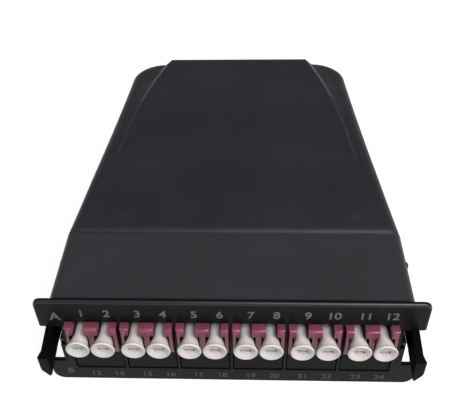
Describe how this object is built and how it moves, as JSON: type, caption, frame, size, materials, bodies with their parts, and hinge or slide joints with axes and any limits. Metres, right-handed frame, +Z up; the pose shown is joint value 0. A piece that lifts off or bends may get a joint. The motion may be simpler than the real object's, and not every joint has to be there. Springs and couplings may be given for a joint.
{
  "type": "fibre cassette",
  "caption": "Low tapering black fibre cassette with a front bezel, a row of capped violet duplex ports over blanked openings, squeeze latches at the sides and a ribbon port behind.",
  "frame": {"origin": "centre of the footprint on the surface it stands on", "axes": "+X to the right across the ports, +Y back from the bezel to the rear port, +Z up; the ports face -Y"},
  "size_m": [0.0958, 0.1352, 0.032],
  "materials": {
    "housing_plastic": "fine moulded satin",
    "bezel_plastic": "fine moulded satin",
    "lever_plastic": "moulded satin",
    "plug_plastic": "moulded satin",
    "adapter_plastic": "semi-gloss heather violet",
    "cap_plastic": "soft semi-gloss white",
    "sleeve_ceramic": "polished ceramic",
    "clip_steel": "plain sheet",
    "pin_steel": "drawn wire",
    "screw_steel": "dark zinc",
    "ribbon_adapter_plastic": "moulded satin",
    "ribbon_cap_rubber": "soft matt"
  },
  "bodies": {
    "housing": {"base_tray": "housing_plastic", "top_cover": "housing_plastic", "bezel": "bezel_plastic", "ribbon_adapter": "ribbon_adapter_plastic", "cover_screws": "screw_steel", "pivot_pin_left": "pin_steel", "pivot_pin_right": "pin_steel", "adapter_1": "adapter_plastic", "alignment_sleeves_1": "sleeve_ceramic", "spring_clip_1": "clip_steel", "blank_plug_1": "plug_plastic", "adapter_2": "adapter_plastic", "alignment_sleeves_2": "sleeve_ceramic", "spring_clip_2": "clip_steel", "blank_plug_2": "plug_plastic", "adapter_3": "adapter_plastic", "alignment_sleeves_3": "sleeve_ceramic", "spring_clip_3": "clip_steel", "blank_plug_3": "plug_plastic", "adapter_4": "adapter_plastic", "alignment_sleeves_4": "sleeve_ceramic", "spring_clip_4": "clip_steel", "blank_plug_4": "plug_plastic", "adapter_5": "adapter_plastic", "alignment_sleeves_5": "sleeve_ceramic", "spring_clip_5": "clip_steel", "blank_plug_5": "plug_plastic", "adapter_6": "adapter_plastic", "alignment_sleeves_6": "sleeve_ceramic", "spring_clip_6": "clip_steel", "blank_plug_6": "plug_plastic"},
    "port_cap_1": {"dust_cap_1": "cap_plastic"},
    "port_cap_2": {"dust_cap_2": "cap_plastic"},
    "port_cap_3": {"dust_cap_3": "cap_plastic"},
    "port_cap_4": {"dust_cap_4": "cap_plastic"},
    "port_cap_5": {"dust_cap_5": "cap_plastic"},
    "port_cap_6": {"dust_cap_6": "cap_plastic"},
    "port_cap_7": {"dust_cap_7": "cap_plastic"},
    "port_cap_8": {"dust_cap_8": "cap_plastic"},
    "port_cap_9": {"dust_cap_9": "cap_plastic"},
    "port_cap_10": {"dust_cap_10": "cap_plastic"},
    "port_cap_11": {"dust_cap_11": "cap_plastic"},
    "port_cap_12": {"dust_cap_12": "cap_plastic"},
    "rear_cap": {"ribbon_cap": "ribbon_cap_rubber"},
    "left_latch": {"latch_lever_left": "lever_plastic"},
    "right_latch": {"latch_lever_right": "lever_plastic"}
  },
  "joints": [
    {"name": "port_cap_1_pull", "type": "slide", "parent": "housing", "child": "port_cap_1", "axis": [0, -1, 0], "range_m": [0, 0.016]},
    {"name": "port_cap_2_pull", "type": "slide", "parent": "housing", "child": "port_cap_2", "axis": [0, -1, 0], "range_m": [0, 0.016]},
    {"name": "port_cap_3_pull", "type": "slide", "parent": "housing", "child": "port_cap_3", "axis": [0, -1, 0], "range_m": [0, 0.016]},
    {"name": "port_cap_4_pull", "type": "slide", "parent": "housing", "child": "port_cap_4", "axis": [0, -1, 0], "range_m": [0, 0.016]},
    {"name": "port_cap_5_pull", "type": "slide", "parent": "housing", "child": "port_cap_5", "axis": [0, -1, 0], "range_m": [0, 0.016]},
    {"name": "port_cap_6_pull", "type": "slide", "parent": "housing", "child": "port_cap_6", "axis": [0, -1, 0], "range_m": [0, 0.016]},
    {"name": "port_cap_7_pull", "type": "slide", "parent": "housing", "child": "port_cap_7", "axis": [0, -1, 0], "range_m": [0, 0.016]},
    {"name": "port_cap_8_pull", "type": "slide", "parent": "housing", "child": "port_cap_8", "axis": [0, -1, 0], "range_m": [0, 0.016]},
    {"name": "port_cap_9_pull", "type": "slide", "parent": "housing", "child": "port_cap_9", "axis": [0, -1, 0], "range_m": [0, 0.016]},
    {"name": "port_cap_10_pull", "type": "slide", "parent": "housing", "child": "port_cap_10", "axis": [0, -1, 0], "range_m": [0, 0.016]},
    {"name": "port_cap_11_pull", "type": "slide", "parent": "housing", "child": "port_cap_11", "axis": [0, -1, 0], "range_m": [0, 0.016]},
    {"name": "port_cap_12_pull", "type": "slide", "parent": "housing", "child": "port_cap_12", "axis": [0, -1, 0], "range_m": [0, 0.016]},
    {"name": "rear_cap_pull", "type": "slide", "parent": "housing", "child": "rear_cap", "axis": [0, 1, 0], "range_m": [0, 0.012]},
    {"name": "left_latch_squeeze", "type": "hinge", "parent": "housing", "child": "left_latch", "pos_m": [-0.0444, -0.0397, 0.0189], "axis": [0, 0, 1], "range_deg": [0, 3], "stiffness_Nm_per_rad": 1.5},
    {"name": "right_latch_squeeze", "type": "hinge", "parent": "housing", "child": "right_latch", "pos_m": [0.0444, -0.0397, 0.0189], "axis": [0, 0, -1], "range_deg": [0, 3], "stiffness_Nm_per_rad": 1.5}
  ]
}
